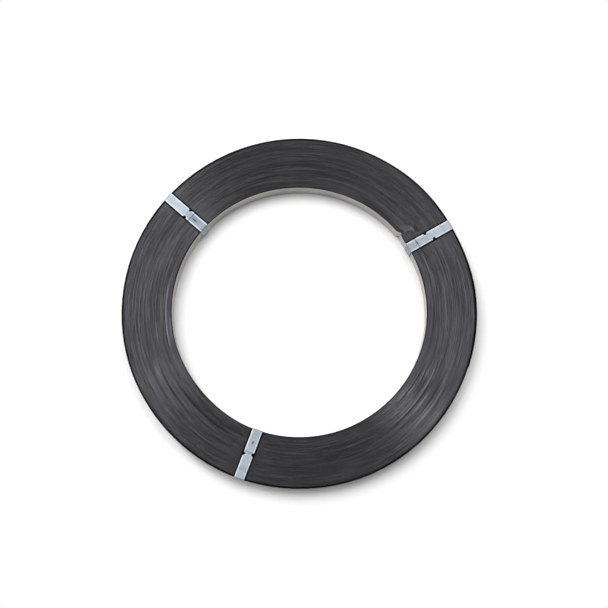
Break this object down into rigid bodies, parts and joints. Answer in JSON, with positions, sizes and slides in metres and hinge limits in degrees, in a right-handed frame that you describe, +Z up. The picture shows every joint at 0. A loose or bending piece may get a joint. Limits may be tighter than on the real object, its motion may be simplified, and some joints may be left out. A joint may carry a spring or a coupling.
{
  "type": "steel strapping coil",
  "caption": "Flat ring of black steel strapping, wound on itself round a wide bore and held by bright metal tie bands.",
  "frame": {"origin": "on the coil's axis, on the floor that the ties lie on", "axes": "+Z up along the bore, -Y towards the tie band at the front"},
  "size_m": [0.5656, 0.5648, 0.0344],
  "materials": {
    "black_strap": "satin",
    "galvanised_strip": "satin"
  },
  "bodies": {
    "root": {"strap_coil": "black_strap", "tie_band_left": "galvanised_strip", "tie_band_right": "galvanised_strip", "tie_band_front": "galvanised_strip"}
  },
  "joints": []
}
